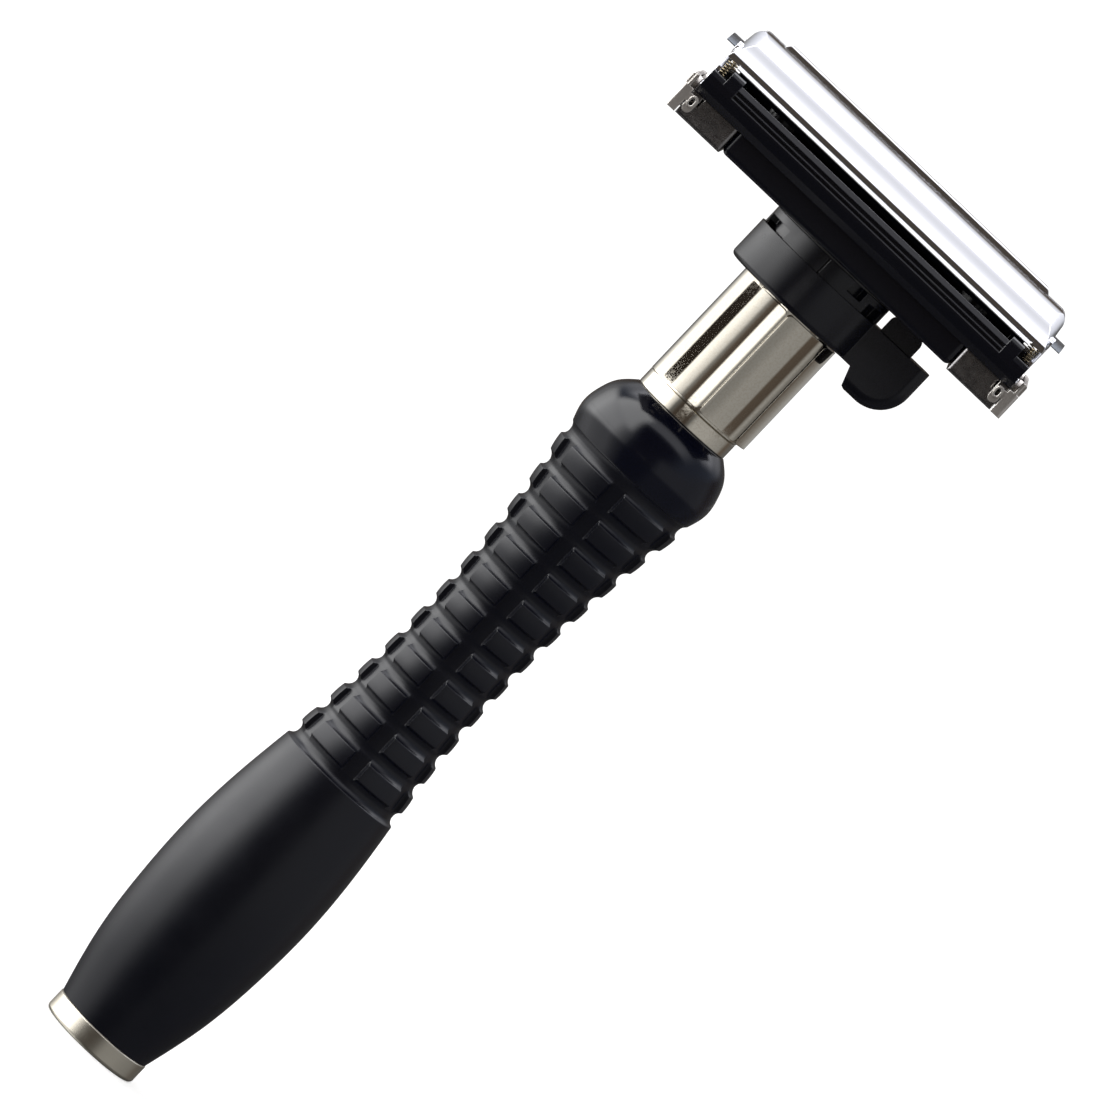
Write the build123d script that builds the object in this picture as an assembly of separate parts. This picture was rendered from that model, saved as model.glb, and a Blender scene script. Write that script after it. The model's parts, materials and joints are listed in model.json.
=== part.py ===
from build123d import *
import math
import os

# Double-edge safety razor with butterfly doors, opened by a thumb lever on a cam collar.
# Millimetres. Z runs up the handle from the flat foot of the end cap to the head, X runs
# along the head with the thumb lever on +X, and -Y is the front.

# Blade: the standard double-edge size, flexed into an arc across Y.
BLADE_LENGTH = 43.0
BLADE_EDGE = 37.5
BLADE_TAB_WIDTH = 13.0
BLADE_HALF_ARC = 11.0
BLADE_THICK = 0.1
BLADE_ARC_R = 30.0
BLADE_CROWN_Z = 112.1
BLADE_SLOT = (34.6, 3.3)
BLADE_ARC_Z = BLADE_CROWN_Z - BLADE_ARC_R

# Handle
CAP_R = 5.43
CAP_TOP = 2.2
CAP_SPIGOT = (3.4, 7.2)
ROD_R = 2.0
ROD_ENDS = (3.2, 81.0)
BORE_R = 2.2
GRIP_FOOT_R = 5.365
BARREL_END = (6.72, 34.85)
RING_COUNT = 11
RING_PITCH = 3.5
FIRST_VALLEY_Z = 35.7
WAIST_R = 4.985
WAIST_Z = 52.0
WAIST_CURVE = 0.0042
RING_HEIGHT = 0.54
RING_CROWN = 0.08
COVE_HALF = 0.85
FLUTE_COUNT = 6
FLUTE_WIDTH = 1.8
GRIP_TOP = 82.0
BULB_RIM = (7.45, 74.95)
BULB_MAX = (7.985, 77.0)

# Neck
NECK_R = 5.45
NECK_RING = (82.0, 83.8)
NECK_SPIGOT_R = 3.6
NECK_SPIGOT_LOW = 75.8
NECK_PLUG = (4.4, 87.0)
PAD_R = 6.28
PAD_Z = (84.05, 96.6)
PAD_GAP_DEG = 2.2
PAD_CORNER_R = 0.45
PAD_EDGES_DEG = (-134.0, -85.2, -35.4)
SLEEVE_BORE_R = 4.45
SPRING_SHOULDER = (96.0, 97.0)
SLEEVE_TOP_BORE_R = 3.2
FLARE = (4.8, 5.3, 103.9)

# Cam collar and its thumb lever
COLLAR_R = 7.48
COLLAR_Z = (96.8, 101.2)
COLLAR_BORE_R = 5.52
CROWN_R = 7.2
CROWN_TOP = 103.1
LEVER_TOP = 103.2
LEVER_HALF_WIDTH = 2.5
LEVER_TURN_DEG = 90.0
CAM_SLOT_R = 7.0
WASHER_R = (5.6, 7.1)

# Lift train: follower pin, stem and yoke
STEM_R = 1.8
STEM_CLEARANCE = 0.06
STEM_LOW = 87.6
STEM_THREAD_R = 1.25
FOLLOWER_R = 0.6
FOLLOWER_Z = 98.2
FOLLOWER_HALF = 6.9
SLOT_GAP = 0.06
CLIP_Z = (88.2, 88.6)
SEAT_TOP = 89.2
YOKE_Z = (104.6, 105.8)
YOKE_HUB_R = 5.0
YOKE_HALF_WIDTH = 2.3
YOKE_ARM_X = (16.9, 17.9)
YOKE_ARM_LOW = 103.75
YOKE_ARM_HALF = 8.8
NUT_Z = (105.8, 106.95)

# Butterfly doors: each turns about a pivot behind its lip, and a link pin on its arm is
# carried by the yoke, so the yoke's lift swings both doors.
PIVOT_Y = 9.5
PIVOT_Z = 106.3
LINK_ARM = 2.4
LINK_HALF_SWING_DEG = 40.0
LINK_R = 0.5
PIVOT_R = 0.6
DOOR_LIP = (9.8, 110.95)
DOOR_LOW = 110.3
LIP_CURL_R = 0.7
LIP_GAP = 0.04
LIP_TRIM_X = 18.9
DOOR_INNER_Y = 1.65
DOOR_CROWN_Z = 114.4
DOOR_FLAT_Y = 4.0
DOOR_SKIN = 0.7
DOOR_END = (20.33, 19.9)
DOOR_CORNER_R = 1.2
DOOR_END_SKIN = 1.0
DOOR_ROLL = (4.8, 2.4)
DOOR_ROLL_RISE_DEG = 27.1
FLANGE_X = (20.0, 20.4)
TAB_WINDOW = (6.85, 112.55)

# Head body
BAR_X = 14.65
BAR_Y = 10.6
BAR_Z = (103.4, 105.9)
BAR_FLOOR = 1.0
BAR_ROUND = 0.6
GUARD_X = 20.3
GUARD_Y = 12.3
GUARD_LOW = 105.9
GUARD_FLOOR = 107.1
GUARD_TOP = 109.17
RIB_X = 17.25
BLOCK_X = 18.7
BLOCK_TOP = 109.75
CORNER_TOP = 108.6
RIB_DROPS = (0.87, 1.34)
END_WALL_X = (18.6, 19.9)
END_WALL_TOP = 109.3
PLATFORM_X = 18.3
PLATFORM_Y = 9.4
PLATFORM_THICK = 1.0
SPINE = (17.05, 1.45, 115.0)
BRACKET_X = (14.72, 20.3)
BRACKET_Y = 10.9
BRACKET_LOW = 103.15
BRACKET_ROUND = 0.35
SHEET = 0.5
END_PLATE_X = (20.9, 21.5)
END_PLATE_Y = 11.45
END_PLATE_Z = (103.15, 107.2)
EAR_X = 20.4
EAR_TOP = 105.9
EAR_X_MIDDLE = 19.73
EAR_LOOP_Z = (104.25, 105.1)
EAR_R = 0.5
EYELET_Z = (104.72, 105.12)
EYELET_R = 0.3
EYELET_BORE_R = 0.2
EYELET_RIM_R = 0.4
EYELET_RIM_DEPTH = 0.2
BRACKET_NOTCH = (18.95, 19.2, 104.8)
CORNER_SPRING = (19.55, 9.75, 0.36, 0.065)
CORNER_SPRING_TURNS = 5
PLATFORM_SCREW = (12.5, 6.0)
PLATFORM_SCREW_R = 0.75
PLATFORM_SCREW_TOP = 109.3
PLATFORM_HEAD_R = 1.4
PLATFORM_HEAD = 0.65
BRACKET_SCREW = (15.85, 6.0)
BRACKET_SCREW_R = 0.55
BRACKET_SCREW_TOP = 106.7
BRACKET_HEAD_R = 0.8
BRACKET_BOSS_R = 0.9
BRACKET_HEAD = 0.4
RIVET_X = (-12, 0, 12)
RIVET_R = 0.8

# Worked out from the driving sizes
LINK_SWING = math.radians(LINK_HALF_SWING_DEG)
LIFT = 2 * LINK_ARM * math.sin(LINK_SWING)
LINK_Y = PIVOT_Y - LINK_ARM * math.cos(LINK_SWING)
LINK_Z = PIVOT_Z - LINK_ARM * math.sin(LINK_SWING)


# Shapes that several pieces use

def disc(radius, low, high, x=0.0, y=0.0):
    """Upright cylinder between two heights."""
    return Pos(x, y, (low + high) / 2) * Cylinder(radius, high - low)


def tube(outer, inner, low, high):
    """Upright ring between two heights."""
    return disc(outer, low, high) - disc(inner, low, high)


def cone(low_r, high_r, low, high, x=0.0, y=0.0):
    """Upright cone between two heights."""
    return Pos(x, y, (low + high) / 2) * Cone(low_r, high_r, high - low)


def block(x_range, y_range, z_range):
    """Box between two limits on each axis."""
    sizes = [pair[1] - pair[0] for pair in (x_range, y_range, z_range)]
    centre = [(pair[0] + pair[1]) / 2 for pair in (x_range, y_range, z_range)]
    return Pos(*centre) * Box(*sizes)


def rod_x(radius, x_range, y, z):
    """Rod along X."""
    length = x_range[1] - x_range[0]
    return Pos((x_range[0] + x_range[1]) / 2, y, z) * Rot(0, 90, 0) * Cylinder(radius, length)


def rod_y(radius, y_range, x, z):
    """Rod along Y."""
    length = y_range[1] - y_range[0]
    return Pos(x, (y_range[0] + y_range[1]) / 2, z) * Rot(90, 0, 0) * Cylinder(radius, length)


def sector(inner, outer, low, high, start_deg, end_deg):
    """Upright slice of a ring between two angles."""
    span = end_deg - start_deg
    near = CenterArc((0, 0), inner, start_deg, span)
    far = CenterArc((0, 0), outer, start_deg, span)
    outline = [near, far, Line(near @ 0, far @ 0), Line(near @ 1, far @ 1)]
    return Pos(0, 0, low) * extrude(make_face(outline), high - low)


def along_x(face, x_range):
    """Solid from a face drawn in Y and Z, between two X positions."""
    return Pos(x_range[0], 0, 0) * extrude(Plane.YZ * face, x_range[1] - x_range[0])


def forward(face, near, far):
    """Solid from a face drawn in X and Z, between two distances in front of the middle plane."""
    return Pos(0, -near, 0) * extrude(Plane.XZ * face, far - near)


def span(side, low, high):
    """X range of something on the left (-1) or right (+1), given for the right."""
    return sorted((side * low, side * high))


def strut(start, end, radius):
    """Round-ended bar between two points of a drawing."""
    dx = end[0] - start[0]
    dy = end[1] - start[1]
    middle = Pos((start[0] + end[0]) / 2, (start[1] + end[1]) / 2)
    turn = Rot(0, 0, math.degrees(math.atan2(dy, dx)))
    bar = middle * turn * Rectangle(math.hypot(dx, dy), 2 * radius)
    return bar + Pos(*start) * Circle(radius) + Pos(*end) * Circle(radius)


def arch(radius, thick, half_width, half_length):
    """Plate bent about the blade's arc centre, its top at the given radius."""
    half_deg = math.degrees(math.asin(half_width / radius))
    top = CenterArc((0, BLADE_ARC_Z), radius, 90 - half_deg, 2 * half_deg)
    under = CenterArc((0, BLADE_ARC_Z), radius - thick, 90 - half_deg, 2 * half_deg)
    face = make_face([top, under, Line(top @ 0, under @ 0), Line(top @ 1, under @ 1)])
    return along_x(face, (-half_length, half_length))


def coil(radius, wire_r, low, high, turns):
    """Compression spring about the Z axis."""
    height = high - low - 2 * wire_r
    path = Helix(height / turns, height, radius)
    section = Plane(origin=path @ 0, z_dir=path % 0) * Circle(wire_r)
    return Pos(0, 0, low + wire_r) * sweep(section, path=path, is_frenet=True)


def countersunk_screw(x, y, low, high, shank_r, head_r, head_high):
    """Flat-head screw pointing up, with a straight driver slot in its head."""
    screw = cone(head_r, shank_r, low, low + head_high, x, y)
    screw += disc(shank_r, low + head_high, high, x, y)
    return screw - block((x - head_r, x + head_r), (y - 0.12, y + 0.12), (low, low + 0.25))


def corners(x, y):
    """The four points that mirror one point across both middle planes."""
    return [(sx * x, sy * y) for sx in (-1, 1) for sy in (-1, 1)]


def front_and_rear(piece):
    """A front shape with its mirror image at the rear."""
    return piece + mirror(piece, about=Plane.XZ)


def group(pieces):
    """Separate solids kept together in one node."""
    return Compound(children=[solid for piece in pieces for solid in piece.solids()])


# Handle

def waist(z):
    """Radius of the ringed waist's valleys at a height."""
    return WAIST_R + WAIST_CURVE * (z - WAIST_Z) ** 2


def grip_outline():
    """Half outline of the grip: barrel, ringed waist and bulb."""
    foot = (GRIP_FOOT_R, CAP_TOP)
    barrel = Spline(foot, (6.85, 8.5), (7.65, 15.5), (7.87, 21.6), (7.45, 29.0), BARREL_END)
    edges = [Line((0, CAP_TOP), foot), barrel]
    last = BARREL_END
    for valley in range(RING_COUNT + 1):
        z = FIRST_VALLEY_Z + valley * RING_PITCH
        after_z = z + COVE_HALF
        after = (waist(after_z) + RING_HEIGHT, after_z)
        if valley == RING_COUNT:
            after = BULB_RIM
        edges.append(ThreePointArc(last, (waist(z), z), after))
        if valley < RING_COUNT:
            land_z = z + RING_PITCH - COVE_HALF
            land = (waist(land_z) + RING_HEIGHT, land_z)
            middle = ((after[0] + land[0]) / 2 + RING_CROWN, (after_z + land_z) / 2)
            edges.append(ThreePointArc(after, middle, land))
            last = land
    edges.append(Spline(BULB_RIM, BULB_MAX, (7.65, 79.1), (6.65, 81.0), (5.55, GRIP_TOP)))
    edges.append(Line((5.55, GRIP_TOP), (0, GRIP_TOP)))
    edges.append(Line((0, GRIP_TOP), (0, CAP_TOP)))
    return make_face(edges)


def flute_cutter():
    """Cutter for one flute, which follows the waist and crosses every ring."""
    low = FIRST_VALLEY_Z
    high = FIRST_VALLEY_Z + RING_COUNT * RING_PITCH
    depth = 0.1
    floor = ThreePointArc(
        (waist(low) + depth, low),
        (waist(WAIST_Z) + depth, WAIST_Z),
        (waist(high) + depth, high),
    )
    reach = 12.0
    outline = [
        floor,
        Line(floor @ 0, (reach, low)),
        Line((reach, low), (reach, high)),
        Line((reach, high), floor @ 1),
    ]
    return extrude(Plane.XZ * make_face(outline), FLUTE_WIDTH / 2, both=True)


def grip():
    body = revolve(Plane.XZ * grip_outline(), Axis.Z)
    cutter = flute_cutter()
    for index in range(FLUTE_COUNT):
        body -= Rot(0, 0, -90 + index * 360 / FLUTE_COUNT) * cutter
    body -= disc(BORE_R, CAP_TOP, GRIP_TOP)
    body -= disc(CAP_SPIGOT[0], CAP_TOP, CAP_SPIGOT[1] + 0.3)
    return body - disc(NECK_SPIGOT_R, NECK_SPIGOT_LOW - 0.3, GRIP_TOP)


def end_cap():
    cap = disc(CAP_R, 0, CAP_TOP)
    cap = fillet(cap.edges().group_by(Axis.Z)[0], 0.35)
    cap = chamfer(cap.edges().group_by(Axis.Z)[-1], 0.15)
    cap += disc(CAP_SPIGOT[0], CAP_TOP, CAP_SPIGOT[1])
    return cap - disc(ROD_R, ROD_ENDS[0], CAP_SPIGOT[1])


def tie_rod():
    return disc(ROD_R, *ROD_ENDS)


# Neck

def neck_base():
    ring = fillet(disc(NECK_R - 0.03, *NECK_RING).edges().filter_by(GeomType.CIRCLE), 0.15)
    base = ring + disc(NECK_SPIGOT_R, NECK_SPIGOT_LOW, NECK_RING[0])
    base += disc(NECK_PLUG[0], NECK_RING[1], NECK_PLUG[1])
    return base - disc(ROD_R, NECK_SPIGOT_LOW, ROD_ENDS[1])


def pad(start_deg, end_deg):
    """Raised pad on the neck, its corners rounded."""
    root = SLEEVE_BORE_R + 0.3
    body = sector(root, PAD_R, *PAD_Z, start_deg, end_deg)
    corners_of_pad = body.edges().filter_by(lambda edge: abs(edge.length - (PAD_R - root)) < 0.01)
    return fillet(corners_of_pad, PAD_CORNER_R)


def pin_slot():
    """Upright slot through the neck for the follower pin's travel."""
    half = FOLLOWER_R + SLOT_GAP
    reach = (-NECK_R - 1, NECK_R + 1)
    slot = block((-half, half), reach, (FOLLOWER_Z, FOLLOWER_Z + LIFT))
    for z in (FOLLOWER_Z, FOLLOWER_Z + LIFT):
        slot += rod_y(half, reach, 0, z)
    return slot


def neck_sleeve():
    first, middle, last = PAD_EDGES_DEG
    gap = PAD_GAP_DEG / 2
    sleeve = disc(NECK_R, NECK_RING[1], BAR_Z[0])
    edges = (first, middle, last, -last, -middle, -first)
    for start, end in zip(edges, edges[1:]):
        sleeve += pad(start + gap, end - gap)
    sleeve += disc(FLARE[0], BAR_Z[0], FLARE[2])
    sleeve += cone(FLARE[0], FLARE[1], FLARE[2], BAR_Z[0] + BAR_FLOOR)
    sleeve -= disc(SLEEVE_BORE_R, NECK_PLUG[1], SPRING_SHOULDER[0])
    sleeve -= disc(NECK_PLUG[0], NECK_RING[1], NECK_PLUG[1])
    sleeve -= disc(STEM_R + STEM_CLEARANCE, *SPRING_SHOULDER)
    sleeve -= disc(SLEEVE_TOP_BORE_R, SPRING_SHOULDER[1], BAR_Z[0] + BAR_FLOOR)
    return sleeve - pin_slot()


# Cam collar with thumb lever

def cam_slot(angle_deg):
    """Blind helical slot in the collar's bore: it climbs by the lift as it runs back a quarter turn."""
    half = FOLLOWER_R + SLOT_GAP
    inner = COLLAR_BORE_R - 0.6
    middle = (inner + CAM_SLOT_R) / 2
    pitch = LIFT * 360 / LEVER_TURN_DEG
    path = Helix(pitch, LIFT, middle, lefthand=True)
    start = Plane(origin=path @ 0, x_dir=(1, 0, 0), z_dir=path % 0)
    section = start * Rectangle(CAM_SLOT_R - inner, 2 * half)
    slot = Rot(0, 0, angle_deg) * Pos(0, 0, FOLLOWER_Z) * sweep(section, path=path, is_frenet=True)
    for turn, z in ((angle_deg, FOLLOWER_Z), (angle_deg - LEVER_TURN_DEG, FOLLOWER_Z + LIFT)):
        slot += Rot(0, 0, turn) * rod_x(half, (inner, CAM_SLOT_R), 0, z)
    return slot


def lever_paddle():
    """Thumb paddle that hangs from the collar, its outer edge a large round."""
    top = COLLAR_Z[1]
    sweep_edge = ThreePointArc((10.5, 94.73), (13.1, 95.75), (14.17, 98.4))
    outline = Polyline(
        (14.17, 98.4), (14.17, top), (5.9, top), (5.9, COLLAR_Z[0]),
        (8.07, COLLAR_Z[0]), (8.75, 94.9), (9.1, 94.73), (10.5, 94.73),
    )
    paddle = extrude(Plane.XZ * make_face([sweep_edge, *outline.edges()]), LEVER_HALF_WIDTH, both=True)
    rim = [
        edge for edge in paddle.edges()
        if abs(abs(edge.center().Y) - LEVER_HALF_WIDTH) < 0.01
        and edge.center().X > 10.6 and edge.center().Z < top - 0.01
    ]
    return fillet(rim, 1.1)


def cam_collar():
    ring = fillet(disc(COLLAR_R, *COLLAR_Z).edges().group_by(Axis.Z)[0], 0.5)
    collar = ring + disc(CROWN_R, COLLAR_Z[1], CROWN_TOP)
    stop = block((7.87, 11.73), (-1.9, 1.9), (COLLAR_Z[1], LEVER_TOP))
    stop = fillet(stop.edges().filter_by(Axis.Y).group_by(Axis.Z)[-1], 0.7)
    collar += lever_paddle() + stop
    collar -= disc(COLLAR_BORE_R, *(COLLAR_Z[0], LEVER_TOP))
    for angle in (-90, 90):
        collar -= cam_slot(angle)
    low = COLLAR_Z[1] + 0.02
    for half_turn in (0, 180):
        collar -= sector(6.3, 8.0, low, 102.3, -170 + half_turn, -132 + half_turn)
        collar -= sector(6.3, 8.0, low, CROWN_TOP, -92.6 + half_turn, -91.0 + half_turn)
        collar -= sector(6.3, 8.0, 101.9, CROWN_TOP, -66 + half_turn, -50 + half_turn)
        collar -= sector(6.3, 7.6, low, 102.4, -42 + half_turn, -17 + half_turn)
    return collar


def thrust_washer():
    return tube(WASHER_R[1], WASHER_R[0], CROWN_TOP, BAR_Z[0])


# Lift train

def lift_stem():
    stem = disc(STEM_R, STEM_LOW, YOKE_Z[0])
    stem = chamfer(stem.edges().group_by(Axis.Z)[0], 0.2)
    stem += disc(STEM_THREAD_R, YOKE_Z[0], NUT_Z[1] + 0.1)
    stem -= tube(STEM_R + 0.1, STEM_R - 0.4, *CLIP_Z)
    return stem - rod_y(FOLLOWER_R, (-STEM_R - 1, STEM_R + 1), 0, FOLLOWER_Z)


def follower_pin():
    return rod_y(FOLLOWER_R, (-FOLLOWER_HALF, FOLLOWER_HALF), 0, FOLLOWER_Z)


def stem_clip():
    clip = tube(2.8, STEM_R - 0.4, *CLIP_Z)
    return clip - block((-1.3, 1.3), (0, 3), CLIP_Z)


def spring_seat():
    return tube(4.2, STEM_R + 0.05, CLIP_Z[1], SEAT_TOP)


def return_spring():
    return coil(3.2, 0.28, SEAT_TOP, SPRING_SHOULDER[0], 4.5)


def stem_nut():
    hexagon = Pos(0, 0, NUT_Z[0]) * extrude(RegularPolygon(2.3, 6, major_radius=False), NUT_Z[1] - NUT_Z[0])
    return hexagon - disc(STEM_THREAD_R, *NUT_Z)


def link_slot(x_range):
    """Level slot in a yoke arm, long enough for the link pin's sideways drift."""
    half = LINK_R + 0.12
    inboard = PIVOT_Y - LINK_ARM - 0.15
    outboard = LINK_Y + 0.15
    slot = block(x_range, (-outboard, -inboard), (LINK_Z - half, LINK_Z + half))
    for y in (-outboard, -inboard):
        slot += rod_x(half, x_range, y, LINK_Z)
    return slot


def lift_yoke():
    yoke = block((-YOKE_ARM_X[1], YOKE_ARM_X[1]), (-YOKE_HALF_WIDTH, YOKE_HALF_WIDTH), YOKE_Z)
    yoke += disc(YOKE_HUB_R, *YOKE_Z)
    for x_range in (YOKE_ARM_X, (-YOKE_ARM_X[1], -YOKE_ARM_X[0])):
        arm = block(x_range, (-YOKE_ARM_HALF, YOKE_ARM_HALF), (YOKE_ARM_LOW, YOKE_Z[1]))
        yoke += arm
        yoke -= front_and_rear(link_slot(x_range))
    return yoke - disc(STEM_THREAD_R, *YOKE_Z)


# Doors

def door_section(skin):
    """Y and Z outline of a door, drawn in by a skin thickness. Its lip curls under at the front."""
    lip_y, lip_z = DOOR_LIP
    drop = DOOR_CROWN_Z - lip_z
    reach = lip_y - DOOR_FLAT_Y
    crown_r = (reach ** 2 + drop ** 2) / (2 * drop)
    centre_z = DOOR_CROWN_Z - crown_r
    lip_turn = math.asin((lip_z - centre_z) / crown_r)
    centre = (-DOOR_FLAT_Y, centre_z)
    crown = CenterArc(centre, crown_r - skin, 90, 90 - math.degrees(lip_turn))
    if skin > 0:
        below = DOOR_LOW - 2
        rest = Polyline(crown @ 0, (0, DOOR_CROWN_Z - skin), (0, below), ((crown @ 1).X, below), crown @ 1)
        return make_face([crown, *rest.edges()])
    offset = crown_r - LIP_CURL_R
    curl_centre = (-DOOR_FLAT_Y - offset * math.cos(lip_turn), centre_z + offset * math.sin(lip_turn))
    curl_start = 180 - math.degrees(lip_turn)
    curl = CenterArc(curl_centre, LIP_CURL_R, curl_start, 190 - curl_start)
    rest = Polyline(
        curl @ 1, ((curl @ 1).X, DOOR_LOW), (-DOOR_INNER_Y, DOOR_LOW),
        (-DOOR_INNER_Y, DOOR_CROWN_Z), crown @ 0,
    )
    return make_face([crown, curl, *rest.edges()])


def door_envelope(skin, end_skin):
    """Door block with its ends leaning in and its top corners rounded."""
    top = DOOR_CROWN_Z - skin
    floor = DOOR_LOW - 3
    lean = (DOOR_END[0] - DOOR_END[1]) / (DOOR_CROWN_Z - DOOR_LOW)
    top_x = DOOR_END[1] - end_skin
    foot_x = top_x + lean * (top - floor)
    outline = make_face(Polyline((-foot_x, floor), (foot_x, floor), (top_x, top), (-top_x, top), close=True))
    outline = fillet(outline.vertices().group_by(Axis.Y)[-1], DOOR_CORNER_R - skin)
    return along_x(door_section(skin), (-foot_x, foot_x)) & extrude(Plane.XZ * outline, 15, both=True)


def end_roll(side):
    """Cutter that rolls a door's end over, along a line from its lip up to its crown."""
    inward, upward = DOOR_ROLL
    rise = math.radians(DOOR_ROLL_RISE_DEG)
    plane = Plane(
        origin=(side * DOOR_END[0], -DOOR_LIP[0], DOOR_LIP[1] - 0.75),
        x_dir=(-side, 0, 0),
        z_dir=(0, side * math.cos(rise), side * math.sin(rise)),
    )
    corner = Pos(inward / 2 - 0.5, upward) * Rectangle(inward + 1, 2 * upward)
    corner -= Pos(inward, 0) * Ellipse(inward, upward)
    return extrude(plane * corner, 12, both=True)


def door_flange(x_range):
    """End arm: from the door's end down and under to its pivot and link pin."""
    pivot = (-PIVOT_Y, PIVOT_Z)
    elbow = (-6.35, PIVOT_Z + 0.2)
    knee = (-6.35, PIVOT_Z + 3.0)
    shape = strut(pivot, elbow, 0.9) + strut(elbow, knee, 0.9) + strut(knee, (-8.0, PIVOT_Z + 5.0), 0.85)
    shape += strut(elbow, (-LINK_Y, LINK_Z), 0.85)
    return along_x(shape, x_range)


def front_door():
    door = door_envelope(0, 0) - end_roll(-1) - end_roll(1)
    door -= door_envelope(DOOR_SKIN, DOOR_END_SKIN)
    door -= rod_x(BLADE_ARC_R + LIP_GAP, (-LIP_TRIM_X, LIP_TRIM_X), 0, BLADE_ARC_Z)
    door -= block((-25, 25), (-TAB_WINDOW[0], TAB_WINDOW[0]), (105, TAB_WINDOW[1]))
    for x_range in (FLANGE_X, (-FLANGE_X[1], -FLANGE_X[0])):
        door += door_flange(x_range)
        door -= rod_x(PIVOT_R + 0.05, (x_range[0] - 1, x_range[1] + 1), -PIVOT_Y, PIVOT_Z)
        door -= rod_x(LINK_R, (x_range[0] - 1, x_range[1] + 1), -LINK_Y, LINK_Z)
    return door


def front_link_pins():
    inner = YOKE_ARM_X[0] - 0.2
    outer = FLANGE_X[1]
    return group([rod_x(LINK_R, span(side, inner, outer), -LINK_Y, LINK_Z) for side in (-1, 1)])


def door_pivot_pins():
    pins = []
    for side in (-1, 1):
        for y in (-PIVOT_Y, PIVOT_Y):
            shank = span(side, 18.9, END_PLATE_X[1])
            spacer = span(side, FLANGE_X[1] + 0.08, END_PLATE_X[0])
            pins.append(rod_x(PIVOT_R, shank, y, PIVOT_Z) + rod_x(0.95, spacer, y, PIVOT_Z))
    return group(pins)


# Head body

def guard_section(inner_y, top, front_top_y, top_round):
    """Y and Z outline of the guard's front wall up to a given top, its front top edge rounded."""
    outer = GUARD_Y
    outline = Polyline(
        (-inner_y, GUARD_LOW), (-outer + 1.0, GUARD_LOW), (-outer + 0.2, GUARD_LOW + 0.7),
        (-outer, GUARD_LOW + 1.55), (-outer + 0.1, GUARD_LOW + 2.2), (-front_top_y, top), (-inner_y, top),
        close=True,
    )
    front_top = Vertex(-front_top_y, top)
    face = make_face(outline)
    return fillet(face.vertices().sort_by_distance(front_top)[0], top_round)


def ribbed_section():
    """Outline of the wall between the end blocks: a sloping top rib over two thin ribs."""
    outer = GUARD_Y
    top = GUARD_TOP
    ribs = Polyline(
        (-10.6, GUARD_LOW), (-outer + 1.0, GUARD_LOW), (-outer + 0.2, GUARD_LOW + 0.7),
        (-outer, GUARD_LOW + 1.55),
        (-outer + 0.04, top - 1.47), (-outer + 0.17, top - RIB_DROPS[1]), (-11.85, top - RIB_DROPS[1]),
        (-11.85, top - 1.14), (-outer + 0.14, top - 1.12),
        (-outer + 0.14, top - 0.99), (-outer + 0.26, top - RIB_DROPS[0]), (-11.8, top - RIB_DROPS[0]),
        (-11.8, top - 0.60), (-outer + 0.25, top - 0.57), (-outer + 0.25, top - 0.48), (-11.72, top),
        (-10.6, top), close=True,
    )
    return make_face(ribs)


def guard_end(side):
    """One end of the guard: raised blocks, corner seats and the wall that holds the pivots."""
    raised = along_x(guard_section(10.3, BLOCK_TOP, 11.75, 0.7), span(side, RIB_X, BLOCK_X))
    seat = along_x(guard_section(10.6, CORNER_TOP, 12.0, 0.15), span(side, BLOCK_X, GUARD_X))
    bearing = block(span(side, *END_WALL_X), (-10.7, -8.55), (GUARD_LOW, CORNER_TOP))
    end = front_and_rear(raised + seat + bearing)
    return end + block(span(side, *END_WALL_X), (-8.6, 8.6), (GUARD_LOW, END_WALL_TOP))


def guard_body():
    guard = front_and_rear(along_x(ribbed_section(), (-RIB_X, RIB_X)))
    floor_x = END_WALL_X[0] + 0.1
    guard += block((-floor_x, floor_x), (-10.7, 10.7), (GUARD_LOW, GUARD_FLOOR))
    guard += guard_end(-1) + guard_end(1)
    for x, y in corners(*BRACKET_SCREW):
        guard += disc(BRACKET_BOSS_R, BRACKET_LOW + SHEET, GUARD_LOW, x, y)
        guard -= disc(BRACKET_SCREW_R, BRACKET_LOW, BRACKET_SCREW_TOP, x, y)
    for x, y in corners(*PLATFORM_SCREW):
        guard -= disc(PLATFORM_SCREW_R, GUARD_LOW, GUARD_FLOOR, x, y)
    floor_cut = (GUARD_LOW, GUARD_FLOOR)
    guard -= block((-18.2, 18.2), (-2.6, 2.6), floor_cut)
    guard -= disc(YOKE_HUB_R + 0.3, *floor_cut)
    for side in (-1, 1):
        guard -= block(span(side, 16.7, 18.2), (-9.1, 9.1), floor_cut)
        pin_way = block(span(side, 18.0, 20.2), (-8.35, -6.4), (GUARD_LOW, CORNER_TOP))
        guard -= front_and_rear(pin_way)
    return guard - door_pivot_pins()


def lower_bar():
    bar = block((-BAR_X, BAR_X), (-BAR_Y, BAR_Y), BAR_Z)
    upright = bar.edges().filter_by(Axis.Z)
    lowest = bar.edges().group_by(Axis.Z)[0]
    bar = fillet(upright + lowest, BAR_ROUND)
    floor = BAR_Z[0] + BAR_FLOOR
    bar -= block((-BAR_X + 1, BAR_X - 1), (-BAR_Y + 1, BAR_Y - 1), (floor, BAR_Z[1]))
    for x, y in corners(*PLATFORM_SCREW):
        bar += disc(1.8, floor - 0.1, BAR_Z[1], x, y)
        bar -= disc(PLATFORM_SCREW_R, *BAR_Z, x, y)
        bar -= cone(PLATFORM_HEAD_R, PLATFORM_SCREW_R, BAR_Z[0], BAR_Z[0] + PLATFORM_HEAD, x, y)
    bar -= block((-BAR_X, BAR_X), (-2.6, 2.6), (floor, BAR_Z[1]))
    bar -= disc(FLARE[0], BAR_Z[0], FLARE[2])
    return bar - cone(FLARE[0], FLARE[1], FLARE[2], floor)


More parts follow.
